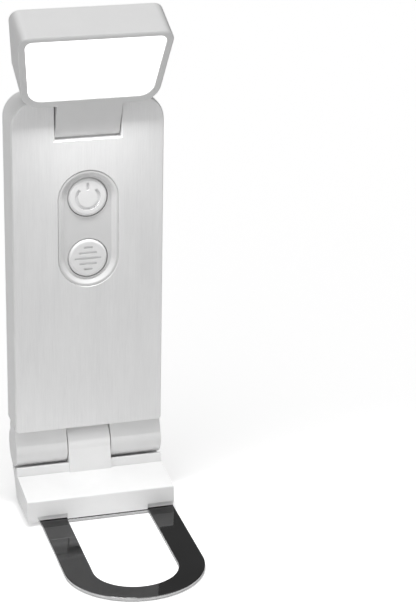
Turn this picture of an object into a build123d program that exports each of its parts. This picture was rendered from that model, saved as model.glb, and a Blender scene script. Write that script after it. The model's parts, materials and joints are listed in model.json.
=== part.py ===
from build123d import *
import os
from math import sin, cos, tan, acos, atan2, degrees, radians, sqrt

os.makedirs("parts", exist_ok=True)

# Clip-on book light, upright on its clip. Millimetres, +Z up, the front faces -Y.
# Z = 0 is the surface it stands on. While drawing, X = 0 and Y = 0 are the lamp body's
# middle planes; every piece is exported about the middle of the whole light's footprint.

# ---------------------------------------------------------------- driving dimensions
BODY_W = 45.0            # lamp body width
BODY_T = 13.3            # lamp body thickness
BODY_Z0 = 23.1           # flat bottom of the body
BODY_Z1 = 126.3          # top of the body
BODY_R_TOP = 7.5         # upper corners, front view
BODY_R_BOT = 1.0         # lower corners
WALL = 1.6
PLATE_T = 0.8            # brushed front plate
FRAME_T = 1.2            # inner panel behind the plate
NOTCH_HW = 9.85          # half width of the notch for the neck
NOTCH_Z = 114.2          # its floor at the front
RECESS_Z = 86.8          # centre of the stadium recess
RECESS_R = 9.0
RECESS_HALF = 8.9        # half distance of the stadium's arc centres
BTN_R = 5.85
BTN_Z_POWER = 96.2
BTN_Z_DIM = 77.4
BTN_TRAVEL = 0.5
ENGRAVING = 0.35         # depth of the symbols on the buttons
HINGE_Y, HINGE_Z = -1.0, 16.2      # main hinge axis, along X
KNUCKLE_R = 5.85
KNUCKLE_IN = 6.8                   # inner ends of the outer knuckles
WEB_Y0, WEB_Y1 = -4.4, 2.65        # front and back of the webs over the outer knuckles
TAB_HW = 6.5                       # half width of the centre knuckle
TAB_Y = -8.45                      # its front at the foot, below which the folded plate passes
PIVOT_Y, PIVOT_Z = 0.57, 118.9     # head axis, along X
PSI = 22.02                        # forward lean of the head as drawn
HEAD_FRONT = 6.6                   # face, measured from the head axis
HEAD_T = 13.7
HEAD_TOP = 33.84                   # top edge above the head axis
HEAD_BOT = 9.14                    # bottom edge of the face
HEAD_SLOPE = 15.0                  # slope of the head's underside
HEAD_HW = 22.6                     # half width at the top
HEAD_TAPER = 0.118                 # half width lost per mm downwards
NECK_HW = 9.55
FOOT_W = 45.0
FOOT_Z0 = 1.3
JAW_Y, JAW_Z = -7.5, 4.9           # axis of the steel loop
COIL_R = 1.6              # mean radius of the spring's coils
LOOP_X = 2.0                       # the loop sits a little to one side
LOOP_T = 1.1
LOOP_HW, LOOP_IN = 20.5, 12.45
LOOP_Y_ARC, LOOP_RY = -53.9, 19.1
HOLE_Y_ARC, HOLE_RY = -55.4, 11.1
LOOP_Y_BAR = -22.75                # front edge of the crossbar

YF = -BODY_T / 2
YB = BODY_T / 2
HW = BODY_W / 2


def front(y):
    # plane seen from the front: local x = X, local y = Z, extrudes towards -Y
    return Plane(origin=(0, y, 0), x_dir=(1, 0, 0), z_dir=(0, -1, 0))


def side(x):
    # plane seen from the side: local x = Y, local y = Z, extrudes towards +X
    return Plane(origin=(x, 0, 0), x_dir=(0, 1, 0), z_dir=(1, 0, 0))


# where the web's sloping front meets the barrel: the tangent from the web's upper front corner
_d = Vector(WEB_Y0 - HINGE_Y, BODY_Z0 - HINGE_Z)
_a = degrees(atan2(_d.Y, _d.X) + acos(KNUCKLE_R / _d.length))
WEB_T = (HINGE_Y + KNUCKLE_R * cos(radians(_a)), HINGE_Z + KNUCKLE_R * sin(radians(_a)))

S, C = sin(radians(PSI)), cos(radians(PSI))


def face(b):
    # plane parallel to the lit face, b in front of the head axis: local x = X, local y = up the head
    return Plane(origin=(0, PIVOT_Y - C * b, PIVOT_Z - S * b), x_dir=(1, 0, 0), z_dir=(0, -C, -S))


def head_side(x):
    # local x = up the head, local y = towards the lit side, extrudes towards +X
    return Plane(origin=(x, PIVOT_Y, PIVOT_Z), x_dir=(0, -S, C), z_dir=(1, 0, 0))


SHIFT_Y = (LOOP_RY - LOOP_Y_ARC - BODY_T / 2) / 2      # footprint's middle to the body's middle plane


def save(builder, name):
    piece = builder.part.moved(Location((0, SHIFT_Y, 0)))
    piece.label = name
    export_step(piece, "parts/" + name + ".step")


def body_outline(inset, z_cut=None):
    # front view of the lamp body, private sketch
    w, z0, z1 = HW - inset, BODY_Z0 + inset, BODY_Z1 - inset
    rt, rb = BODY_R_TOP - inset, max(BODY_R_BOT - inset, 0.4)
    with BuildLine(Plane.XY) as ln:
        Polyline((-w, z1 - rt), (-w, z0 + rb))
        RadiusArc((-w, z0 + rb), (-w + rb, z0), -rb)
        Line((-w + rb, z0), (w - rb, z0))
        RadiusArc((w - rb, z0), (w, z0 + rb), -rb)
        Line((w, z0 + rb), (w, z1 - rt))
        RadiusArc((w, z1 - rt), (w - rt, z1), -rt)
        Line((w - rt, z1), (-w + rt, z1))
        RadiusArc((-w + rt, z1), (-w, z1 - rt), -rt)
    return make_face(ln.line.edges())


def stadium(r, half):
    with BuildSketch(Plane.XY, mode=Mode.PRIVATE) as s:
        with Locations((0, RECESS_Z)):
            SlotOverall(2 * (half + r), 2 * r, rotation=90)
    return s.sketch


# ================================================================ LAMP BODY
SCREWS = [(-18.4, 28.0), (18.4, 28.0), (-16.6, 117.6), (16.6, 117.6)]
FLOOR_R = 7.2            # concave notch floor round the head axis

with BuildPart() as rear_casing:
    with BuildSketch(front(YB)):
        add(body_outline(0.0))
    extrude(amount=BODY_T - PLATE_T)
    fillet(rear_casing.faces().sort_by(Axis.Y)[-1].edges(), radius=1.1)
    # hollow, open to the front
    with BuildSketch(front(YB - WALL)):
        add(body_outline(WALL))
    extrude(amount=BODY_T, mode=Mode.SUBTRACT)
    # block that carries the notch and its cheeks
    with BuildSketch(front(YB)):
        with Locations((0, (NOTCH_Z - WALL + BODY_Z1) / 2)):
            Rectangle(2 * (NOTCH_HW + 2.4), BODY_Z1 - NOTCH_Z + WALL)
    extrude(amount=BODY_T - PLATE_T)
    with BuildSketch(side(-(NOTCH_HW + 2.4))):
        with Locations((PIVOT_Y, PIVOT_Z)):
            Circle(FLOOR_R + WALL)
        with Locations((0, PIVOT_Z + 20)):
            Rectangle(40, 40, mode=Mode.SUBTRACT)
        with Locations((YB + 10, PIVOT_Z)):
            Rectangle(20, 40, mode=Mode.SUBTRACT)
        with Locations((YF + PLATE_T - 10, PIVOT_Z)):
            Rectangle(20, 40, mode=Mode.SUBTRACT)
    extrude(amount=2 * (NOTCH_HW + 2.4))
    # hinge knuckles under the body, each joined to it by a web whose front slopes onto the barrel
    for xa in (-HW, KNUCKLE_IN):
        with BuildSketch(side(xa)):
            with Locations((HINGE_Y, HINGE_Z)):
                Circle(KNUCKLE_R)
            with BuildLine():
                Polyline((WEB_Y0, BODY_Z0 + 0.4), (WEB_Y0, BODY_Z0), WEB_T, (HINGE_Y, HINGE_Z), (WEB_Y1, HINGE_Z + 3.0), (WEB_Y1, BODY_Z0 + 0.4), close=True)
            make_face()
        extrude(amount=HW - KNUCKLE_IN)
    # screw posts
    for sx, sz in SCREWS:
        with BuildSketch(front(YB - 1.0)):
            with Locations((sx, sz)):
                Circle(2.6)
        extrude(amount=4.4)
    # stand-offs for the circuit board
    for sx in (-15.0, 15.0):
        for sz in (71.0, 106.0):
            with BuildSketch(front(YB - 1.0)):
                with Locations((sx, sz)):
                    Circle(1.5)
            extrude(amount=YB - 1.0 - 0.4)
    # notch for the neck, with the concave floor
    with BuildSketch(front(YB + 1)):
        with Locations((0, (NOTCH_Z + BODY_Z1 + 2) / 2)):
            Rectangle(2 * NOTCH_HW, BODY_Z1 + 2 - NOTCH_Z)
    extrude(amount=BODY_T + 2, mode=Mode.SUBTRACT)
    with BuildSketch(side(-NOTCH_HW)):
        with Locations((PIVOT_Y, PIVOT_Z)):
            Circle(FLOOR_R)
    extrude(amount=2 * NOTCH_HW, mode=Mode.SUBTRACT)
    # bores: head pin, main hinge pin (blind)
    with BuildSketch(side(-(NOTCH_HW + 3))):
        with Locations((PIVOT_Y, PIVOT_Z)):
            Circle(1.3)
    extrude(amount=2 * (NOTCH_HW + 3), mode=Mode.SUBTRACT)
    with BuildSketch(side(-21.2)):
        with Locations((HINGE_Y, HINGE_Z)):
            Circle(1.55)
    extrude(amount=42.4, mode=Mode.SUBTRACT)
    # screw holes with counterbores from the back
    for sx, sz in SCREWS:
        with BuildSketch(front(YB + 1)):
            with Locations((sx, sz)):
                Circle(2.1)
        extrude(amount=1 + 1.7, mode=Mode.SUBTRACT)
        with BuildSketch(front(YB + 1)):
            with Locations((sx, sz)):
                Circle(1.05)
        extrude(amount=9, mode=Mode.SUBTRACT)
    # charging socket window in the right side
    with BuildSketch(side(HW - 3)):
        with Locations((-1.9, 71.0)):
            RectangleRounded(3.4, 8.6, 1.2)
    extrude(amount=5, mode=Mode.SUBTRACT)
save(rear_casing, "rear_casing")

with BuildPart() as front_frame:
    with BuildSketch(front(YF + PLATE_T + FRAME_T)):
        add(body_outline(WALL + 0.15))
        add(stadium(RECESS_R + 1.1, RECESS_HALF), mode=Mode.SUBTRACT)
        with Locations((0, (NOTCH_Z - WALL - 0.15 + BODY_Z1) / 2)):
            Rectangle(2 * (NOTCH_HW + 2.55), BODY_Z1 - NOTCH_Z + WALL + 0.15, mode=Mode.SUBTRACT)
        with Locations((0, PIVOT_Z)):
            Rectangle(2 * (NOTCH_HW + 2.55), 2 * (FLOOR_R + WALL + 0.15), mode=Mode.SUBTRACT)
    extrude(amount=FRAME_T)
    for sx, sz in SCREWS:
        with BuildSketch(front(YF + PLATE_T + FRAME_T - 0.2)):
            with Locations((sx, sz)):
                Circle(2.1)
        extrude(amount=-5.6)
        with BuildSketch(front(YF + PLATE_T + FRAME_T)):
            with Locations((sx, sz)):
                Circle(0.85)
        extrude(amount=-6.0, mode=Mode.SUBTRACT)
save(front_frame, "front_frame")

with BuildPart() as front_plate:
    with BuildSketch(front(YF + PLATE_T)):
        add(body_outline(0.12))
        add(stadium(RECESS_R, RECESS_HALF), mode=Mode.SUBTRACT)
        with Locations((0, (NOTCH_Z + BODY_Z1 + 4) / 2)):
            Rectangle(2 * NOTCH_HW, BODY_Z1 + 4 - NOTCH_Z, mode=Mode.SUBTRACT)
    extrude(amount=PLATE_T)
    chamfer(front_plate.faces().sort_by(Axis.Y)[0].edges(), length=0.25)
save(front_plate, "front_plate")

FLOOR_Y = YF + 1.2        # recess floor
with BuildPart() as button_bezel:
    with BuildSketch(front(YF + 2.4)):
        add(stadium(RECESS_R + 0.9, RECESS_HALF))
    extrude(amount=2.4 - PLATE_T - 0.05)
    with BuildSketch(front(YF + 1.5)):
        add(stadium(RECESS_R - 0.06, RECESS_HALF))
    extrude(amount=1.5 - 0.12)
    # recess with a sloped wall and soft edges
    with BuildSketch(front(FLOOR_Y)):
        add(stadium(RECESS_R - 1.9, RECESS_HALF))
    with BuildSketch(front(YF)):
        add(stadium(RECESS_R - 0.6, RECESS_HALF))
    loft(mode=Mode.SUBTRACT)
    lip = button_bezel.faces().sort_by(Axis.Y)[0].inner_wires()[0].edges()
    fillet(lip, radius=0.45)
    for bz in (BTN_Z_POWER, BTN_Z_DIM):
        with BuildSketch(front(YF + 3)):
            with Locations((0, bz)):
                Circle(BTN_R + 0.18)
        extrude(amount=3.4, mode=Mode.SUBTRACT)
save(button_bezel, "button_bezel")

BOARD_Y = -0.6            # front of the circuit board
with BuildPart() as main_board:
    with BuildSketch(front(BOARD_Y + 1.0)):
        with Locations((0, 88.5)):
            RectangleRounded(36, 41, 1.5)
    extrude(amount=1.0)
    # a few components on the back
    for cx, cz, w, h, t in ((-9, 96, 6, 6, 1.1), (6, 101, 4, 5, 0.9), (-8, 82, 5, 3.2, 1.3), (9, 84, 6, 4, 1.0), (2, 75, 3.4, 2, 0.8), (-9, 74, 2.4, 4, 0.8)):
        with BuildSketch(front(BOARD_Y + 1.0)):
            with Locations((cx, cz)):
                Rectangle(w, h)
        extrude(amount=-t)
save(main_board, "main_board")

with BuildPart() as battery:
    with BuildSketch(front(1.6)):
        with Locations((0, 48.5)):
            RectangleRounded(33, 33, 2.0)
    extrude(amount=5.6)
    fillet(battery.edges().filter_by(Plane.XZ), radius=0.8)
save(battery, "battery")

with BuildPart() as battery_leads:
    for dx in (-2.0, 2.0):
        with BuildLine() as w:
            Spline((dx * 0.6, -1.2, 65.3), (dx, -1.9, 67.2), (dx, -1.35, 69.5))
        with BuildSketch(Plane(origin=w.line @ 0, z_dir=w.line % 0)):
            Circle(0.45)
        sweep()
save(battery_leads, "battery_leads")

with BuildPart() as usb_socket:
    with BuildSketch(side(16.8)):
        with Locations((-1.9, 71.0)):
            RectangleRounded(2.6, 7.6, 0.7)
    extrude(amount=5.3)
    with BuildSketch(side(17.6)):
        with Locations((-1.9, 71.0)):
            RectangleRounded(2.0, 7.0, 0.5)
    extrude(amount=5.3, mode=Mode.SUBTRACT)
    with BuildSketch(side(17.2)):
        with Locations((-1.9, 71.0)):
            Rectangle(0.6, 5.2)
    extrude(amount=4.2)
save(usb_socket, "usb_socket")

for nm, bz in (("power_switch", BTN_Z_POWER), ("dimmer_switch", BTN_Z_DIM)):
    with BuildPart() as sw:
        with BuildSketch(front(BOARD_Y)):
            with Locations((0, bz)):
                RectangleRounded(6.0, 6.0, 0.4)
        extrude(amount=1.8)
        with BuildSketch(front(BOARD_Y - 0.3)):
            with Locations((0, bz)):
                Circle(1.9)
        extrude(amount=3, mode=Mode.SUBTRACT)
    save(sw, nm)

with BuildPart() as casing_screws:
    for sx, sz in SCREWS:
        with BuildSketch(front(YB - 0.35)):
            with Locations((sx, sz)):
                Circle(1.9)
        extrude(amount=1.3)
        with BuildSketch(front(YB - 1.0)):
            with Locations((sx, sz)):
                Circle(0.8)
        extrude(amount=7.5)
        for a in (0, 90):
            with BuildSketch(front(YB)):
                with Locations((sx, sz)):
                    Rectangle(2.3, 0.5, rotation=a + 20)
            extrude(amount=1.0, mode=Mode.SUBTRACT)
save(casing_screws, "casing_screws")

with BuildPart() as head_pin:
    with BuildSketch(side(-(NOTCH_HW + 2.0))):
        with Locations((PIVOT_Y, PIVOT_Z)):
            Circle(1.25)
            Circle(0.65, mode=Mode.SUBTRACT)
    extrude(amount=2 * (NOTCH_HW + 2.0))
save(head_pin, "head_pin")

# two buttons: cap, retaining flange and stem
def button(bz):
    with BuildPart() as b:
        with BuildSketch(front(-4.0)):
            with Locations((0, bz)):
                Circle(BTN_R)
        extrude(amount=-YF - 0.8 - 4.0)
        fillet(b.faces().sort_by(Axis.Y)[0].edges(), radius=0.95)
        with BuildSketch(front(-3.3)):
            with Locations((0, bz)):
                Circle(BTN_R + 0.9)
        extrude(amount=0.7)
        with BuildSketch(front(-1.8)):
            with Locations((0, bz)):
                Circle(1.5)
        extrude(amount=1.6)
    return b


with BuildPart() as power_button:
    add(button(BTN_Z_POWER).part)
    # engraved power symbol: open ring and bar
    with BuildSketch(front(YF + 0.8 + ENGRAVING)):
        with Locations((0, BTN_Z_POWER)):
            Circle(3.85)
            Circle(2.9, mode=Mode.SUBTRACT)
        with BuildLine():
            Polyline((0, BTN_Z_POWER), (-5.2, BTN_Z_POWER + 5.2), (5.2, BTN_Z_POWER + 5.2), close=True)
        make_face(mode=Mode.SUBTRACT)
        with Locations((0, BTN_Z_POWER + 3.35)):
            RectangleRounded(0.85, 2.5, 0.4)
    extrude(amount=1.0, mode=Mode.SUBTRACT)
save(power_button, "power_button")

with BuildPart() as dimmer_button:
    add(button(BTN_Z_DIM).part)
    # five grooves, longest in the middle
    with BuildSketch(front(YF + 0.8 + ENGRAVING)):
        for i, w in ((-2, 2.7), (-1, 5.3), (0, 8.0), (1, 5.3), (2, 2.7)):
            with Locations((0, BTN_Z_DIM + i * 1.68)):
                RectangleRounded(w, 0.72, 0.34)
    extrude(amount=1.0, mode=Mode.SUBTRACT)
save(dimmer_button, "dimmer_button")

# dished return springs behind the flanges
for nm, bz in (("power_spring", BTN_Z_POWER), ("dimmer_spring", BTN_Z_DIM)):
    with BuildPart() as sp:
        with BuildSketch(Plane(origin=(0, 0, bz), x_dir=(1, 0, 0), z_dir=(0, 0, 1))):
            with BuildLine():
                Polyline((1.95, -3.26), (2.15, -3.26), (2.9, -2.44), (2.7, -2.44), close=True)
            make_face()
        revolve(axis=Axis((0, 0, bz), (0, 1, 0)))
    save(sp, nm)

# ================================================================ HEAD
def head_outline(inset, b, extra_bottom=0.0):
    # closed wire of the head's front view on the plane at b, underside sloping back
    bot = HEAD_BOT + (HEAD_FRONT - b) * tan(radians(HEAD_SLOPE)) + inset + extra_bottom
    top = HEAD_TOP - inset
    hw = lambda a: HEAD_HW - HEAD_TAPER * (HEAD_TOP - a) - inset
    rt, rb = max(3.1 - inset, 0.8), max(6.0 - 2.2 * (HEAD_FRONT - b) / HEAD_T - inset, 1.0)
    with BuildSketch(Plane.XY, mode=Mode.PRIVATE) as s:
        with BuildLine():
            Polyline((-hw(top), top), (-hw(bot), bot), (hw(bot), bot), (hw(top), top), close=True)
        make_face()
        v = s.vertices().sort_by(Axis.Y)
        fillet(v[-2:], radius=rt)
        fillet(s.vertices().sort_by(Axis.Y)[:2], radius=rb)
    return s.sketch


def window_outline(inset):
    # opening of the lit face: thin rim on top, wider at the sides and the bottom
    top, bot = HEAD_TOP - 1.5 - inset, HEAD_BOT + 2.2 + inset
    hw = lambda a: HEAD_HW - HEAD_TAPER * (HEAD_TOP - a) - 2.0 - inset
    with BuildSketch(Plane.XY, mode=Mode.PRIVATE) as s:
        with BuildLine():
            Polyline((-hw(top), top), (-hw(bot), bot), (hw(bot), bot), (hw(top), top), close=True)
        make_face()
        fillet(s.vertices().sort_by(Axis.Y)[-2:], radius=2.0)
        fillet(s.vertices().sort_by(Axis.Y)[:2], radius=4.4)
    return s.sketch


HB = HEAD_FRONT - HEAD_T
with BuildPart() as head_shell:
    with BuildSketch(face(HB)):
        add(head_outline(0.0, HB))
    with BuildSketch(face(HEAD_FRONT)):
        add(head_outline(0.0, HEAD_FRONT))
    loft(ruled=True)
    fillet(head_shell.faces().sort_by(Axis((0, 0, 0), (0, -C, -S)))[-1].edges(), radius=0.35)
    fillet(head_shell.faces().sort_by(Axis((0, 0, 0), (0, -C, -S)))[0].edges(), radius=0.5)
    # hollow, open to the back
    with BuildSketch(face(HB - 1)):
        add(head_outline(1.5, HB))
    with BuildSketch(face(HEAD_FRONT - 1.4)):
        add(head_outline(1.5, HEAD_FRONT - 1.4))
    loft(ruled=True, mode=Mode.SUBTRACT)
    # window of the lit face
    with BuildSketch(face(HEAD_FRONT - 3)):
        add(window_outline(0.0))
    extrude(amount=4, mode=Mode.SUBTRACT)
    # neck, flush with the face, round behind the head axis
    with BuildSketch(head_side(-NECK_HW)):
        with BuildLine():
            Polyline((-1.8, HEAD_FRONT), (10.3, HEAD_FRONT), (10.9, HEAD_FRONT - 1.7), (13.3, -5.0), (12.3, -6.08), (0, -6.08), (-4.6, -1.0), close=True)
        make_face()
        Circle(6.08)
    extrude(amount=2 * NECK_HW)
    fillet(head_shell.edges().filter_by(Axis.X).filter_by(lambda e: abs(e.length - 2 * NECK_HW) < 1e-3 and (e.center() - Vector(0, PIVOT_Y - C * HEAD_FRONT + S * 1.8, PIVOT_Z - S * HEAD_FRONT - C * 1.8)).length < 0.2), radius=0.3)
    with BuildSketch(side(-NECK_HW - 1)):
        with Locations((PIVOT_Y, PIVOT_Z)):
            Circle(1.9)
    extrude(amount=2 * NECK_HW + 2, mode=Mode.SUBTRACT)
    # channel for the lead
    with BuildSketch(Plane(face(0.0).origin, x_dir=(1, 0, 0), z_dir=(0, -S, C))):
        with Locations((3.0, 0)):
            Circle(0.8)
    extrude(amount=18, mode=Mode.SUBTRACT)
    # posts for the cover screws
    for sx in (-15.0, 15.0):
        with BuildSketch(face(HB + 1.6)):
            with Locations((sx, 30.2)):
                Circle(2.3)
                Circle(0.75, mode=Mode.SUBTRACT)
        extrude(amount=6.4)
save(head_shell, "head_shell")

with BuildPart() as head_cover:
    with BuildSketch(face(HB + 1.4)):
        add(head_outline(1.65, HB + 0.5))
    with BuildSketch(face(HB + 0.15)):
        add(head_outline(1.65, HB - 0.3))
    loft(ruled=True)
    for sx in (-15.0, 15.0):
        with BuildSketch(face(HB - 1)):
            with Locations((sx, 30.2)):
                Circle(1.62)
        extrude(amount=1.0 + 1.0, mode=Mode.SUBTRACT)
        with BuildSketch(face(HB - 1)):
            with Locations((sx, 30.2)):
                Circle(0.95)
        extrude(amount=4, mode=Mode.SUBTRACT)
save(head_cover, "head_cover")

with BuildPart() as head_screws:
    for sx in (-15.0, 15.0):
        with BuildSketch(face(HB + 0.4)):
            with Locations((sx, 30.2)):
                Circle(1.5)
        extrude(amount=0.6)
        with BuildSketch(face(HB + 0.9)):
            with Locations((sx, 30.2)):
                Circle(0.7)
        extrude(amount=4.5)
        for a in (0, 90):
            with BuildSketch(face(HB)):
                with Locations((sx, 30.2)):
                    Rectangle(1.9, 0.4, rotation=a + 35)
            extrude(amount=0.7, mode=Mode.SUBTRACT)
save(head_screws, "head_screws")

with BuildPart() as diffuser:
    with BuildSketch(face(HEAD_FRONT - 1.45)):
        add(window_outline(0.1))
    extrude(amount=1.45 - 0.25)
    fillet(diffuser.faces().sort_by(Axis((0, 0, 0), (0, -C, -S)))[-1].edges(), radius=0.15)
    with BuildSketch(face(HEAD_FRONT - 2.2)):
        add(head_outline(1.75, HEAD_FRONT - 1.4, 0.1))
    extrude(amount=0.75)
save(diffuser, "diffuser")

with BuildPart() as light_guide:
    with BuildSketch(face(HEAD_FRONT - 4.3)):
        with BuildLine():
            Polyline((-17.6, 14.6), (17.6, 14.6), (19.2, 31.2), (-19.2, 31.2), close=True)
        make_face()
    extrude(amount=2.0)
save(light_guide, "light_guide")

with BuildPart() as reflector:
    with BuildSketch(face(HEAD_FRONT - 4.7)):
        with BuildLine():
            Polyline((-17.6, 14.6), (17.6, 14.6), (19.2, 31.2), (-19.2, 31.2), close=True)
        make_face()
    extrude(amount=0.3)
save(reflector, "reflector")

with BuildPart() as led_board:
    with BuildSketch(face(HEAD_FRONT - 4.9)):
        with Locations((0, 13.1)):
            Rectangle(30.0, 0.8)
    extrude(amount=2.5)
save(led_board, "led_board")

with BuildPart() as led_chips:
    for i in range(8):
        with BuildSketch(face(HEAD_FRONT - 3.9)):
            with Locations((-13.3 + 3.8 * i, 13.95)):
                Rectangle(2.4, 0.8)
        extrude(amount=1.2)
save(led_chips, "led_chips")

with BuildPart() as neck_bushes:
    for x0 in (-NECK_HW, NECK_HW - 4.0):
        with BuildSketch(side(x0)):
            with Locations((PIVOT_Y, PIVOT_Z)):
                Circle(1.85)
                Circle(1.3, mode=Mode.SUBTRACT)
        extrude(amount=4.0)
save(neck_bushes, "neck_bushes")

with BuildPart() as head_lead:
    with BuildSketch(Plane(origin=(face(0.0).origin + Vector(0, -S * 2.3, C * 2.3)), x_dir=(1, 0, 0), z_dir=(0, -S, C))):
        with Locations((3.0, 0)):
            Circle(0.5)
    extrude(amount=10.0)
save(head_lead, "head_lead")

# ================================================================ CLIP BASE
FOOT = [(-22.6, FOOT_Z0), (-22.05, 7.9), (-7.95, 9.32), (-7.85, 8.98), (-7.6, 8.98), (-7.5, 9.5), (-6.7, 11.7), (-6.0, 11.6), (-4.3, 9.9), (0.2, 9.9), (-1.7, 8.0), (-3.5, 5.1), (-5.8, FOOT_Z0)]
with BuildPart() as foot_housing:
    with BuildSketch(side(-FOOT_W / 2)):
        with BuildLine():
            Polyline(*FOOT, close=True)
        make_face()
    extrude(amount=FOOT_W)
    fillet(foot_housing.edges().filter_by(Axis.X).filter_by(lambda e: abs(e.center().Y + 22.05) < 0.1), radius=0.5)
    fillet(foot_housing.edges().filter_by(Axis.X).filter_by(lambda e: abs(e.center().Y + 6.7) < 0.05), radius=0.4)
    # centre knuckle
    with BuildSketch(side(-TAB_HW)):
        with Locations((HINGE_Y, HINGE_Z)):
            Circle(KNUCKLE_R)
        with BuildLine():
            Polyline((TAB_Y, 9.0), (TAB_Y, 9.35), (HINGE_Y - KNUCKLE_R, HINGE_Z), (HINGE_Y + KNUCKLE_R, HINGE_Z), (0.2, 9.5), close=True)
        make_face()
    extrude(amount=2 * TAB_HW)
    # hollow, open below
    with BuildSketch(side(-FOOT_W / 2 + WALL)):
        with BuildLine():
            Polyline((-20.9, FOOT_Z0 - 1), (-20.9, 2.5), (-20.5, 6.35), (-7.0, 7.95), (-3.2, 7.95), (-4.4, 5.4), (-6.75, FOOT_Z0), (-6.75, FOOT_Z0 - 1), close=True)
        make_face()
    extrude(amount=FOOT_W - 2 * WALL, mode=Mode.SUBTRACT)
    # ribs that hold the loop's pin
    for x0 in (-14.2, 16.0):
        with BuildSketch(side(x0)):
            with BuildLine():
                Polyline((-11.0, 2.6), (-11.0, 7.8), (-3.2, 8.2), (-4.6, 4.8), (-5.6, 2.6), close=True)
            make_face()
        extrude(amount=2.0)
    with BuildSketch(side(-16.5)):
        with Locations((JAW_Y, JAW_Z)):
            Circle(1.05)
    extrude(amount=36.5, mode=Mode.SUBTRACT)
    # shallow scoops in the front over the loop's legs
    for x0, x1 in ((LOOP_X - LOOP_HW - 1.0, LOOP_X - LOOP_IN), (LOOP_X + LOOP_IN - 0.2, FOOT_W / 2 + 1)):
        with BuildSketch(side(x0)):
            with BuildLine():
                Polyline((-23.5, 0.0), (-23.5, 3.4), (-22.3, 3.0), (-21.75, 1.9), (-21.75, 0.0), close=True)
            make_face()
        extrude(amount=x1 - x0, mode=Mode.SUBTRACT)
    # main pin bore
    with BuildSketch(side(-TAB_HW - 1)):
        with Locations((HINGE_Y, HINGE_Z)):
            Circle(1.52)
    extrude(amount=2 * TAB_HW + 2, mode=Mode.SUBTRACT)
save(foot_housing, "foot_housing")

EARS = (LOOP_X - 13.6, LOOP_X + 12.5)      # lower X of the loop's two ears
with BuildPart() as foot_cover:
    with BuildSketch(Plane.XY.offset(FOOT_Z0)):
        with Locations((0, (-20.75 - 7.9) / 2)):
            Rectangle(2 * (FOOT_W / 2 - WALL - 0.15), 20.75 - 7.9)
        for x0 in EARS:
            with Locations((x0 + LOOP_T / 2, -12.2)):
                Rectangle(LOOP_T + 0.7, 9.2, mode=Mode.SUBTRACT)
    extrude(amount=1.2)
    # pockets for the grip pads
    with BuildSketch(Plane.XY.offset(FOOT_Z0)):
        for x in (-15.2, 0.9, 18.2):
            with Locations((x, -18.6)):
                RectangleRounded({-15.2: 6.4, 0.9: 20.0, 18.2: 3.6}[x], 3.0, 0.8)
    extrude(amount=0.7, mode=Mode.SUBTRACT)
save(foot_cover, "foot_cover")

with BuildPart() as grip_pads:
    with BuildSketch(Plane.XY.offset(FOOT_Z0 - 0.12)):
        for x in (-15.2, 0.9, 18.2):
            with Locations((x, -18.6)):
                RectangleRounded({-15.2: 6.2, 0.9: 19.8, 18.2: 3.4}[x], 2.8, 0.7)
    extrude(amount=0.8)
save(grip_pads, "grip_pads")

# rubber feet at the rear corners, each with a heel that reaches up the rear slope
REAR_FEET = ((-20.4, 5.6), (17.8, 3.0))     # lower X and width of each
HEEL_Y = -2.2                               # rear end of the heels
with BuildPart() as rear_feet:
    for x0, w in REAR_FEET:
        with BuildSketch(side(x0)):
            with BuildLine():
                Polyline((-10.4, 0.35), (-10.05, 0.0), (HEEL_Y - 0.5, 0.0), (HEEL_Y, 0.5), (HEEL_Y, 1.1), (-4.19, 3.96), (-5.8, FOOT_Z0), (-10.4, FOOT_Z0), close=True)
            make_face()
        extrude(amount=w)
save(rear_feet, "rear_feet")

with BuildPart() as hinge_pin:
    with BuildSketch(side(-20.9)):
        with Locations((HINGE_Y, HINGE_Z)):
            Circle(1.5)
    extrude(amount=41.8)
    chamfer(hinge_pin.edges().filter_by(GeomType.CIRCLE), length=0.25)
save(hinge_pin, "hinge_pin")

with BuildPart() as jaw_pin:
    with BuildSketch(side(-16.0)):
        with Locations((JAW_Y, JAW_Z)):
            Circle(1.0)
    extrude(amount=35.5)
    chamfer(jaw_pin.edges().filter_by(GeomType.CIRCLE), length=0.2)
save(jaw_pin, "jaw_pin")

# torsion spring, two coils round the pin with legs to the cover and to the ears
with BuildPart() as jaw_spring:
    x0 = LOOP_X - 12.1
    # close-wound coil: seven turns of wire side by side
    with BuildSketch(Plane(origin=(x0, JAW_Y, JAW_Z), x_dir=(1, 0, 0), z_dir=(0, -1, 0))):
        for i in range(7):
            with Locations((0.58 * i, COIL_R)):
                Circle(0.3)
    revolve(axis=Axis((x0, JAW_Y, JAW_Z), (1, 0, 0)))
    # leg from the top of the coil, forwards and into the ear
    with BuildSketch(Plane(origin=(x0 + 0.02, JAW_Y + 0.12, JAW_Z + COIL_R), x_dir=(1, 0, 0), z_dir=(0, -1, 0))):
        Circle(0.27)
    extrude(amount=4.1)
    with BuildSketch(side(x0 - 1.3)):
        with Locations((JAW_Y - 3.6, JAW_Z + COIL_R)):
            Circle(0.25)
    extrude(amount=1.6)
    # leg on the cover
    with BuildSketch(Plane(origin=(x0 + 3.51, JAW_Y + 0.2, JAW_Z - COIL_R), x_dir=(1, 0, 0), z_dir=(0, -1, 0))):
        Circle(0.3)
    extrude(amount=7.0)
    mirror(about=Plane(origin=(LOOP_X, 0, 0), x_dir=(0, 1, 0), z_dir=(1, 0, 0)))
save(jaw_spring, "jaw_spring")

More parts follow.
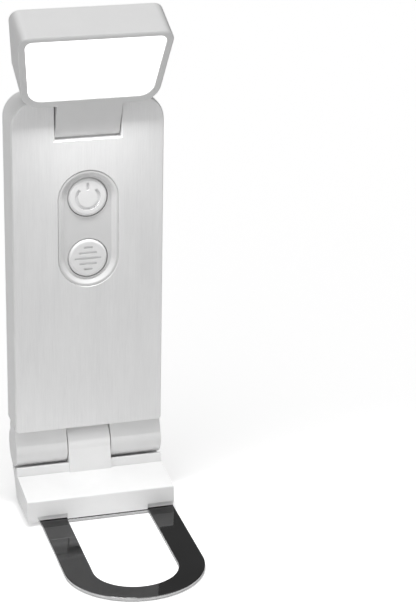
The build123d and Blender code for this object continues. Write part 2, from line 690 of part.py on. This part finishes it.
# ================================================================ STEEL LOOP
with BuildPart() as u_loop:
    with BuildSketch(Plane.XY):
        with Locations((LOOP_X, (LOOP_Y_ARC - 13.2) / 2)):
            Rectangle(2 * LOOP_HW, -13.2 - LOOP_Y_ARC)
        with Locations((LOOP_X, LOOP_Y_ARC)):
            Ellipse(LOOP_HW, LOOP_RY)
        with Locations((LOOP_X, -12.5)):
            Rectangle(28.2, 4.4)
        with Locations((LOOP_X, (HOLE_Y_ARC + LOOP_Y_BAR) / 2)):
            Rectangle(2 * LOOP_IN, LOOP_Y_BAR - HOLE_Y_ARC, mode=Mode.SUBTRACT)
        with Locations((LOOP_X, HOLE_Y_ARC)):
            Ellipse(LOOP_IN, HOLE_RY, mode=Mode.SUBTRACT)
    extrude(amount=LOOP_T)
    fillet(u_loop.faces().sort_by(Axis.Z)[-1].edges(), radius=0.2)
    fillet(u_loop.faces().sort_by(Axis.Z)[0].edges(), radius=0.2)
    # two ears up to the pin
    for x0 in EARS:
        with BuildSketch(side(x0)):
            with BuildLine():
                Polyline((-16.2, 0.5), (-10.7, 0.5), (JAW_Y + 0.6, JAW_Z - 1.9), (JAW_Y, JAW_Z + 2.0), (-12.0, JAW_Z + 2.1), (-13.4, JAW_Z + 0.8), close=True)
            make_face()
            with Locations((JAW_Y, JAW_Z)):
                Circle(2.0)
            with Locations((JAW_Y, JAW_Z)):
                Circle(1.05, mode=Mode.SUBTRACT)
            with Locations((JAW_Y - 3.6, JAW_Z + COIL_R)):
                Circle(0.36, mode=Mode.SUBTRACT)
        extrude(amount=LOOP_T)
save(u_loop, "u_loop")
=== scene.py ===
import json
import math

import bmesh
import bpy
from mathutils import Matrix, Vector


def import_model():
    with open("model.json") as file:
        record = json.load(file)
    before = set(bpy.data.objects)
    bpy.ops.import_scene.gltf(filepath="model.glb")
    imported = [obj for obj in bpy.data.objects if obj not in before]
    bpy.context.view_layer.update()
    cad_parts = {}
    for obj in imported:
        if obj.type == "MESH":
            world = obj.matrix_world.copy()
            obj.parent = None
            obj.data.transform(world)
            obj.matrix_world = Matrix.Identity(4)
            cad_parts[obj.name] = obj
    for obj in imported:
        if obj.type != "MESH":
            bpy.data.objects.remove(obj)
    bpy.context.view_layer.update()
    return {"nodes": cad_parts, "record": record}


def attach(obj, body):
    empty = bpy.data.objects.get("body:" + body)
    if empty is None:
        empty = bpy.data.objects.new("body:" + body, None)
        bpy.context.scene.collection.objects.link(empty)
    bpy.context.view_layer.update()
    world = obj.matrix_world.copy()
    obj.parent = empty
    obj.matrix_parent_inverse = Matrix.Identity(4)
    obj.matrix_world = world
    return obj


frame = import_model()
nodes = frame["nodes"]

MM = 0.001
SY = 33.175           # the footprint's middle, measured from the lamp body's middle plane, mm
PIVOT = Vector((0, (SY + 0.57) * MM, 118.9 * MM))      # the head's axis
LEAN = math.radians(22.02)
FACE_N = Vector((0, -math.cos(LEAN), -math.sin(LEAN)))
FACE_UP = Vector((0, -math.sin(LEAN), math.cos(LEAN)))


# ---------------------------------------------------------------- camera, at the photograph's angle
AZ, EL, ROLL = math.radians(-16.7111), math.radians(22.1606), math.radians(1.1436)
DIST = 0.632667
TARGET = Vector((0.0387205, SY * MM, 0.0574586))
LENS = 2078.551 / 604 * 36

back = Vector((math.sin(AZ) * math.cos(EL), -math.cos(AZ) * math.cos(EL), math.sin(EL)))
right = Vector((math.cos(AZ), math.sin(AZ), 0))
up = right.cross(-back)
cx = right * math.cos(ROLL) + up * math.sin(ROLL)
cy = -right * math.sin(ROLL) + up * math.cos(ROLL)
at = TARGET + back * DIST
cam_data = bpy.data.cameras.new("camera")
cam_data.lens = LENS
cam_data.sensor_width = 36
cam_data.sensor_fit = "AUTO"
cam_data.clip_start, cam_data.clip_end = 0.01, 20
cam = bpy.data.objects.new("camera", cam_data)
cam.matrix_world = Matrix((
    (cx.x, cy.x, back.x, at.x),
    (cx.y, cy.y, back.y, at.y),
    (cx.z, cy.z, back.z, at.z),
    (0, 0, 0, 1),
))
bpy.context.scene.collection.objects.link(cam)
bpy.context.scene.camera = cam
bpy.context.scene.view_settings.view_transform = "Standard"


# ---------------------------------------------------------------- material tools
class Tree:
    """A material and short ways to add and link its nodes."""

    def __init__(self, name):
        self.mat = bpy.data.materials.new(name)
        self.mat.use_nodes = True
        self.nt = self.mat.node_tree
        self.nt.nodes.clear()
        self.out = self.nt.nodes.new("ShaderNodeOutputMaterial")
        self.p = self.nt.nodes.new("ShaderNodeBsdfPrincipled")
        self.link(self.p.outputs[0], self.out.inputs["Surface"])
        self.coord = self.nt.nodes.new("ShaderNodeTexCoord").outputs["Object"]

    def link(self, a, b):
        self.nt.links.new(a, b)
        return b

    def set(self, **values):
        for k, v in values.items():
            self.p.inputs[k.replace("_", " ")].default_value = v
        return self

    def scaled(self, x, y, z, turn=(0, 0, 0)):
        m = self.nt.nodes.new("ShaderNodeMapping")
        m.inputs["Scale"].default_value = (x, y, z)
        m.inputs["Rotation"].default_value = turn
        self.link(self.coord, m.inputs["Vector"])
        return m.outputs[0]

    def noise(self, vector=None, scale=1.0, detail=3.0, rough=0.5, distortion=0.0):
        n = self.nt.nodes.new("ShaderNodeTexNoise")
        n.inputs["Scale"].default_value = scale
        n.inputs["Detail"].default_value = detail
        n.inputs["Roughness"].default_value = rough
        n.inputs["Distortion"].default_value = distortion
        self.link(vector or self.coord, n.inputs["Vector"])
        return n.outputs["Fac"]

    def voronoi(self, vector=None, scale=1.0, feature="F1", out="Distance"):
        n = self.nt.nodes.new("ShaderNodeTexVoronoi")
        n.feature = feature
        n.inputs["Scale"].default_value = scale
        self.link(vector or self.coord, n.inputs["Vector"])
        return n.outputs[out]

    def ramp(self, value, lo, hi, to_lo=0.0, to_hi=1.0):
        n = self.nt.nodes.new("ShaderNodeMapRange")
        for k, v in (("From Min", lo), ("From Max", hi), ("To Min", to_lo), ("To Max", to_hi)):
            n.inputs[k].default_value = v
        self.link(value, n.inputs["Value"])
        return n.outputs["Result"]

    def math(self, op, a, b=None):
        n = self.nt.nodes.new("ShaderNodeMath")
        n.operation = op
        for i, v in enumerate((a, b)):
            if v is None:
                continue
            if isinstance(v, (int, float)):
                n.inputs[i].default_value = v
            else:
                self.link(v, n.inputs[i])
        return n.outputs[0]

    def colours(self, value, *stops):
        n = self.nt.nodes.new("ShaderNodeValToRGB")
        e = n.color_ramp.elements
        while len(e) < len(stops):
            e.new(0.5)
        for s, (pos, c) in zip(e, stops):
            s.position = pos
            s.color = (*((c, c, c) if isinstance(c, (int, float)) else c), 1)
        self.link(value, n.inputs["Fac"])
        return n.outputs["Color"]

    def mix(self, fac, a, b, blend="MIX"):
        n = self.nt.nodes.new("ShaderNodeMix")
        n.data_type = "RGBA"
        n.blend_type = blend
        for sock, v in (("Factor_Float", fac), ("A_Color", a), ("B_Color", b)):
            s = next(i for i in n.inputs if i.identifier == sock)
            if isinstance(v, (int, float)):
                s.default_value = v if sock == "Factor_Float" else (v, v, v, 1)
            elif isinstance(v, tuple):
                s.default_value = (*v, 1)
            else:
                self.link(v, s)
        return next(o for o in n.outputs if o.identifier == "Result_Color")

    def bump(self, height, strength, distance, after=None):
        n = self.nt.nodes.new("ShaderNodeBump")
        n.inputs["Strength"].default_value = strength
        n.inputs["Distance"].default_value = distance
        self.link(height, n.inputs["Height"])
        if after is not None:
            self.link(after, n.inputs["Normal"])
        return n.outputs["Normal"]

    def base(self, socket):
        self.link(socket, self.p.inputs["Base Color"])
        return self

    def roughness(self, socket):
        self.link(socket, self.p.inputs["Roughness"])
        return self

    def normal(self, socket):
        self.link(socket, self.p.inputs["Normal"])
        return self


def plastic(name, tone, rough=0.42, grain=0.012, spread=0.025):
    """Moulded white plastic: fine spark-eroded grain, faint flow marks and patchy gloss."""
    t = Tree(name)
    flow = t.noise(t.scaled(60, 60, 22), 1.0, 3, 0.55, 0.6)
    patch = t.noise(scale=170, detail=4, rough=0.6)
    fine = t.noise(scale=3600, detail=2, rough=0.6)
    grit = t.noise(scale=9000, detail=1, rough=0.5)
    lo, hi = tone * (1 - spread), tone * (1 + spread * 0.6)
    both = t.math("ADD", t.math("MULTIPLY", flow, 0.6), t.math("MULTIPLY", patch, 0.4))
    t.base(t.colours(both, (0.32, (lo, lo, lo)), (0.62, (hi, hi, hi * 0.998))))
    t.roughness(t.ramp(t.math("ADD", t.math("MULTIPLY", patch, 0.55), t.math("MULTIPLY", fine, 0.45)), 0.3, 0.7, rough - 0.05, rough + 0.07))
    h = t.math("ADD", t.math("MULTIPLY", fine, 0.7), t.math("MULTIPLY", grit, 0.3))
    first = t.bump(patch, 0.06, 0.0004)
    t.normal(t.bump(h, 0.35, grain * MM, first))
    t.set(IOR=1.49)
    return t


# ---------------------------------------------------------------- materials
M = {}


def casing_plastic():
    """White casing; the floor of the notch gets a painted glow (emission), standing for the panel's light that
    reaches it through the neck.
    """
    t = plastic("casing_plastic", 0.84, 0.40)
    yz = t.nt.nodes.new("ShaderNodeVectorMath")
    yz.operation = "MULTIPLY"
    t.link(t.coord, yz.inputs[0])
    yz.inputs[1].default_value = (0, 1, 1)
    r = t.nt.nodes.new("ShaderNodeVectorMath")
    r.operation = "DISTANCE"
    t.link(yz.outputs["Vector"], r.inputs[0])
    r.inputs[1].default_value = tuple(PIVOT)
    x = t.nt.nodes.new("ShaderNodeSeparateXYZ")
    t.link(t.coord, x.inputs[0])
    # painted light: a faint emission on the notch floor, in a thin band around the head's axis, between the
    # notch's cheeks
    notch_glow_x_mask = t.ramp(t.math("ABSOLUTE", x.outputs["X"]), 9.84 * MM, 9.80 * MM)
    t.set(Emission_Color=(1, 1, 1, 1))
    t.link(t.math("MULTIPLY", t.ramp(r.outputs["Value"], 7.35 * MM, 7.22 * MM, 0.0, 0.18), notch_glow_x_mask), t.p.inputs["Emission Strength"])
    return t


M["casing"] = casing_plastic().mat


def head_plastic():
    """The head's thin top wall gets a painted glow (emission), standing for the panel's light seen through it."""
    t = plastic("head_plastic", 0.70, 0.38)
    d = t.nt.nodes.new("ShaderNodeVectorMath")
    d.operation = "DOT_PRODUCT"
    t.link(t.coord, d.inputs[0])
    d.inputs[1].default_value = tuple(FACE_UP)
    top = PIVOT.dot(FACE_UP) + 33.84 * MM
    t.set(Emission_Color=(1, 1, 1, 1))
    # painted light: emission along the head's top wall, rising towards the top edge
    t.link(t.ramp(d.outputs["Value"], top - 1.0 * MM, top - 0.1 * MM, 0.0, 0.16), t.p.inputs["Emission Strength"])
    return t


M["head"] = head_plastic().mat
M["cover"] = plastic("cover_plastic", 0.80, 0.45, 0.02).mat
M["foot"] = plastic("foot_plastic", 0.925, 0.34, 0.009).mat
M["bezel"] = plastic("bezel_plastic", 0.72, 0.36, 0.009).mat


def button_plastic(name, z):
    """Satin button; the bottoms of the engraved symbol's grooves are painted a light grey, a painted shade inside
    the grooves.
    """
    t = plastic(name, 0.87, 0.32, 0.008)
    white = t.p.inputs["Base Color"].links[0].from_socket
    d = t.nt.nodes.new("ShaderNodeVectorMath")
    d.operation = "DISTANCE"
    t.link(t.coord, d.inputs[0])
    d.inputs[1].default_value = (0, (SY - 5.5) * MM, z * MM)
    sep = t.nt.nodes.new("ShaderNodeSeparateXYZ")
    t.link(t.coord, sep.inputs[0])
    # painted shade: fill marks the groove bottoms, deeper than the button's face, which get a darker grey
    # standing for shade in the grooves
    deep = t.ramp(sep.outputs["Y"], (SY - 5.76) * MM, (SY - 5.62) * MM)
    fill = t.math("MULTIPLY", deep, t.ramp(d.outputs["Value"], 4.85 * MM, 4.72 * MM))
    t.base(t.mix(fill, white, (0.80, 0.80, 0.805)))
    return t


M["button"] = button_plastic("power_button_plastic", 96.2).mat
M["dimmer"] = button_plastic("dimmer_button_plastic", 77.4).mat
M["frame"] = plastic("frame_plastic", 0.78, 0.5, 0.02).mat
M["bush"] = plastic("nylon", 0.7, 0.3, 0.02).mat


def brushed_plate():
    t = Tree("brushed_plate")
    hair = t.noise(t.scaled(14000, 600, 240), 1.0, 2, 0.6)
    line = t.noise(t.scaled(3600, 200, 90), 1.0, 3, 0.62)
    band = t.noise(t.scaled(520, 60, 36), 1.0, 3, 0.55)
    cloud = t.noise(t.scaled(90, 30, 40), 1.0, 3, 0.5)
    streak = t.math("ADD", t.math("ADD", t.math("MULTIPLY", hair, 0.45), t.math("MULTIPLY", line, 0.37)), t.math("MULTIPLY", band, 0.18))
    tone = t.math("ADD", t.math("MULTIPLY", streak, 0.75), t.math("MULTIPLY", cloud, 0.25))
    t.base(t.colours(tone, (0.36, (0.81, 0.81, 0.812)), (0.5, (0.868, 0.868, 0.868)), (0.64, (0.92, 0.92, 0.92))))
    t.roughness(t.ramp(streak, 0.35, 0.65, 0.40, 0.52))
    t.normal(t.bump(t.math("ADD", t.math("MULTIPLY", hair, 0.6), t.math("MULTIPLY", line, 0.4)), 0.5, 0.006 * MM))
    t.set(Metallic=0.3, Anisotropic=0.6, Anisotropic_Rotation=0.25)
    tan = t.nt.nodes.new("ShaderNodeTangent")
    tan.direction_type = "RADIAL"
    tan.axis = "X"
    t.link(tan.outputs[0], t.p.inputs["Tangent"])
    return t


M["plate"] = brushed_plate().mat


def polished_loop():
    """Dark polished steel with mirror faces; the side faces are painted a lighter, rougher steel, a painted
    highlight along the edges.
    """
    t = Tree("polished_steel")
    haze = t.noise(scale=55, detail=4, rough=0.6)
    scratch = t.noise(t.scaled(900, 60, 300, (0, 0, 0.5)), 1.0, 2, 0.7)
    wave = t.noise(scale=28, detail=1, rough=0.4)
    shear = t.noise(t.scaled(500, 500, 2600), 1.0, 3, 0.6)
    geo = t.nt.nodes.new("ShaderNodeNewGeometry")
    sep = t.nt.nodes.new("ShaderNodeSeparateXYZ")
    t.link(geo.outputs["Normal"], sep.inputs[0])
    # painted highlight: faces whose normal is near horizontal get the lighter steel colour
    edge = t.ramp(t.math("ABSOLUTE", sep.outputs["Z"]), 0.80, 0.45)
    dark = t.colours(haze, (0.35, (0.12, 0.12, 0.121)), (0.7, (0.14, 0.14, 0.141)))
    painted_edge_highlight = t.colours(shear, (0.3, (0.50, 0.50, 0.505)), (0.7, (0.66, 0.66, 0.66)))
    t.base(t.mix(edge, dark, painted_edge_highlight))
    mirror = t.ramp(t.math("ADD", t.math("MULTIPLY", haze, 0.6), t.math("MULTIPLY", scratch, 0.4)), 0.3, 0.75, 0.03, 0.075)
    t.roughness(t.math("ADD", mirror, t.math("MULTIPLY", edge, 0.22)))
    t.normal(t.bump(wave, 0.05, 0.0004))
    t.set(Metallic=1.0, Specular_Tint=(0.8, 0.8, 0.8, 1))
    return t


M["loop"] = polished_loop().mat


def steel(name, tone=0.62, rough=0.28, turned=False):
    t = Tree(name)
    fine = t.noise(scale=2500, detail=3, rough=0.6)
    broad = t.noise(scale=300, detail=3, rough=0.55)
    t.base(t.colours(broad, (0.3, tone * 0.9), (0.7, tone * 1.08)))
    t.roughness(t.ramp(fine, 0.3, 0.7, rough - 0.06, rough + 0.1))
    t.normal(t.bump(fine, 0.3, 0.006 * MM))
    t.set(Metallic=1.0)
    return t


M["steel"] = steel("turned_steel").mat
M["shell_metal"] = steel("plated_steel", 0.72, 0.24).mat


def diffuser():
    t = Tree("diffuser")
    dots = t.voronoi(scale=1500, feature="F1")
    soft = t.noise(scale=90, detail=2, rough=0.5)
    t.base(t.colours(soft, (0.3, (0.93, 0.93, 0.93)), (0.7, (0.97, 0.97, 0.97))))
    t.roughness(t.ramp(soft, 0.3, 0.7, 0.42, 0.55))
    t.normal(t.bump(dots, 0.2, 0.01 * MM))
    t.set(Emission_Color=(1, 1, 1, 1), IOR=1.49)
    t.link(t.ramp(soft, 0.3, 0.7, 0.95, 1.1), t.p.inputs["Emission Strength"])
    return t


M["diffuser"] = diffuser().mat


def rubber():
    t = Tree("soft_rubber")
    fine = t.noise(scale=5200, detail=3, rough=0.7)
    dust = t.noise(scale=420, detail=4, rough=0.6)
    t.base(t.colours(dust, (0.35, (0.085, 0.085, 0.087)), (0.75, (0.13, 0.13, 0.13))))
    t.roughness(t.ramp(fine, 0.3, 0.7, 0.72, 0.9))
    t.normal(t.bump(fine, 0.5, 0.02 * MM))
    return t


M["rubber"] = rubber().mat


def simple(name, dark, light, rough, scale, metallic=0.0, grain=0.01, **sockets):
    t = Tree(name)
    n = t.noise(scale=scale, detail=4, rough=0.6)
    fine = t.noise(scale=scale * 9, detail=2, rough=0.6)
    t.base(t.colours(n, (0.35, dark), (0.68, light)))
    t.roughness(t.ramp(fine, 0.3, 0.7, rough - 0.05, rough + 0.08))
    t.normal(t.bump(fine, 0.3, grain * MM))
    t.set(Metallic=metallic, **sockets)
    return t.mat


M["board"] = simple("solder_resist", (0.012, 0.10, 0.045), (0.02, 0.15, 0.07), 0.3, 900)
M["chip"] = simple("phosphor", (0.80, 0.62, 0.20), (0.90, 0.75, 0.32), 0.35, 2000)
M["cell"] = simple("cell_foil", (0.48, 0.49, 0.51), (0.62, 0.63, 0.65), 0.35, 120, 0.9, 0.05)
M["lead"] = simple("wire_sleeve", (0.30, 0.012, 0.01), (0.42, 0.02, 0.016), 0.45, 1500)
M["switch"] = simple("black_plastic", (0.012, 0.012, 0.013), (0.03, 0.03, 0.032), 0.4, 1500)
M["guide"] = simple("clear_acrylic", (0.86, 0.88, 0.89), (0.93, 0.94, 0.95), 0.08, 200, 0.0, 0.002, IOR=1.49)
M["reflector"] = simple("white_film", (0.88, 0.88, 0.88), (0.95, 0.95, 0.95), 0.5, 600)

slot_of = {s["node"]: s["material_slot"] for s in frame["record"]["subparts"]}
for name, o in nodes.items():
    o.data.materials.clear()
    o.data.materials.append(M["dimmer" if name == "dimmer_button" else slot_of[name]])


# ---------------------------------------------------------------- edges: soften() would give a node's edges a small bevel; no node calls it here
def soften(node, width, segments=3, angle=32):
    o = nodes[node]
    w = o.modifiers.new("weld", "WELD")
    w.merge_threshold = 2e-6
    d = o.modifiers.new("flats", "DECIMATE")
    d.decimate_type = "DISSOLVE"
    d.angle_limit = math.radians(0.4)
    b = o.modifiers.new("edges", "BEVEL")
    b.width = width * MM
    b.segments = segments
    b.limit_method = "ANGLE"
    b.angle_limit = math.radians(angle)
    b.use_clamp_overlap = True
    b.miter_outer = "MITER_ARC"
    n = o.modifiers.new("normals", "WEIGHTED_NORMAL")
    n.weight = 60
    n.keep_sharp = False


# ---------------------------------------------------------------- stage and light
def floor():
    me = bpy.data.meshes.new("floor")
    me.from_pydata([(-6, -6, 0), (6, -6, 0), (6, 6, 0), (-6, 6, 0)], [], [(0, 1, 2, 3)])
    o = bpy.data.objects.new("floor", me)
    bpy.context.scene.collection.objects.link(o)
    m = bpy.data.materials.new("floor")
    m.use_nodes = True
    nt = m.node_tree
    nt.nodes.clear()
    out = nt.nodes.new("ShaderNodeOutputMaterial")
    a = nt.nodes.new("ShaderNodeBsdfDiffuse")
    a.inputs["Color"].default_value = (0.8, 0.8, 0.8, 1)
    b = nt.nodes.new("ShaderNodeBsdfDiffuse")
    b.inputs["Color"].default_value = (0.92, 0.92, 0.92, 1)
    glow = nt.nodes.new("ShaderNodeEmission")
    glow.inputs["Strength"].default_value = 0.34
    bright = nt.nodes.new("ShaderNodeAddShader")
    nt.links.new(b.outputs[0], bright.inputs[0])
    nt.links.new(glow.outputs[0], bright.inputs[1])
    lp = nt.nodes.new("ShaderNodeLightPath")
    mx = nt.nodes.new("ShaderNodeMixShader")
    nt.links.new(lp.outputs["Is Camera Ray"], mx.inputs[0])
    nt.links.new(a.outputs[0], mx.inputs[1])
    nt.links.new(bright.outputs[0], mx.inputs[2])
    nt.links.new(mx.outputs[0], out.inputs["Surface"])
    me.materials.append(m)
    return o


floor()


WORLD = ((-60, 8, 60, 0.84), (0, 8, 60, 0.37), (0, 90, 50, 1.72), (163, 22, 40, 0.2))      # azimuth, elevation, width, strength


def world():
    w = bpy.data.worlds.new("studio")
    bpy.context.scene.world = w
    w.use_nodes = True
    nt = w.node_tree
    nt.nodes.clear()
    out = nt.nodes.new("ShaderNodeOutputWorld")
    bg = nt.nodes.new("ShaderNodeBackground")
    tc = nt.nodes.new("ShaderNodeTexCoord")

    def patch(az, el, width, strength):
        """A soft round patch of light, azimuth from the front towards +X."""
        a, e = math.radians(az), math.radians(el)
        d = nt.nodes.new("ShaderNodeVectorMath")
        d.operation = "DOT_PRODUCT"
        nt.links.new(tc.outputs["Generated"], d.inputs[0])
        d.inputs[1].default_value = (math.sin(a) * math.cos(e), -math.cos(a) * math.cos(e), math.sin(e))
        m = nt.nodes.new("ShaderNodeMapRange")
        m.interpolation_type = "SMOOTHSTEP"
        m.inputs["From Min"].default_value = math.cos(math.radians(width))
        m.inputs["From Max"].default_value = 1.0
        m.inputs["To Max"].default_value = strength
        nt.links.new(d.outputs["Value"], m.inputs["Value"])
        return m.outputs[0]

    total = None
    for p in WORLD:
        v = patch(*p)
        if total is None:
            total = v
        else:
            n = nt.nodes.new("ShaderNodeMath")
            n.operation = "ADD"
            nt.links.new(total, n.inputs[0])
            nt.links.new(v, n.inputs[1])
            total = n.outputs[0]
    n = nt.nodes.new("ShaderNodeMath")
    n.operation = "ADD"
    nt.links.new(total, n.inputs[0])
    n.inputs[1].default_value = 0.02
    bg.inputs["Color"].default_value = (1, 1, 1, 1)
    # the camera sees a plain pale backdrop above the floor's far edge
    seen = nt.nodes.new("ShaderNodeLightPath")
    pick = nt.nodes.new("ShaderNodeMapRange")
    nt.links.new(seen.outputs["Is Camera Ray"], pick.inputs["Value"])
    nt.links.new(n.outputs[0], pick.inputs["To Min"])
    pick.inputs["To Max"].default_value = 1.0
    nt.links.new(pick.outputs["Result"], bg.inputs["Strength"])
    nt.links.new(bg.outputs[0], out.inputs["Surface"])


world()


def aim(o, frm, to):
    o.location = frm
    o.rotation_mode = "QUATERNION"
    o.rotation_quaternion = (Vector(to) - Vector(frm)).to_track_quat("-Z", "Y")


def sun(name, azimuth, elevation, strength, angle):
    d = bpy.data.lights.new(name, "SUN")
    d.energy = strength
    d.angle = math.radians(angle)
    o = bpy.data.objects.new(name, d)
    bpy.context.scene.collection.objects.link(o)
    a, e = math.radians(azimuth), math.radians(elevation)
    v = Vector((math.sin(a) * math.cos(e), -math.cos(a) * math.cos(e), math.sin(e)))
    aim(o, v * 2, (0, 0, 0))
    return o


def softbox(name, frm, to, w, h, radiance):
    d = bpy.data.lights.new(name, "AREA")
    d.shape = "RECTANGLE"
    d.size, d.size_y = w, h
    d.energy = radiance * math.pi * w * h
    o = bpy.data.objects.new(name, d)
    bpy.context.scene.collection.objects.link(o)
    aim(o, frm, to)
    o.visible_camera = False
    return o


def lit_panel(radiance):
    """The light that the panel in the head gives: it rides on the head, just in front of the diffuser."""
    across = Vector((1, 0, 0))
    d = bpy.data.lights.new("lit_panel", "AREA")
    d.shape = "RECTANGLE"
    d.size, d.size_y = 0.0385, 0.0195
    d.energy = radiance * math.pi * d.size * d.size_y
    o = bpy.data.objects.new("lit_panel", d)
    bpy.context.scene.collection.objects.link(o)
    z = -FACE_N
    y = z.cross(across)
    at = PIVOT + FACE_N * 6.66 * MM + FACE_UP * 21.8 * MM
    o.matrix_world = Matrix((
        (across.x, y.x, z.x, at.x),
        (across.y, y.y, z.y, at.y),
        (across.z, y.z, z.z, at.z),
        (0, 0, 0, 1),
    ))
    o.visible_camera = False
    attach(o, "lamp_head")
    return o


lit_panel(62)
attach(softbox("front_fill", (-0.006, -0.012, 0.0065), (-0.006, 0.011, 0.005), 0.044, 0.009, 0.75), "clip_base")
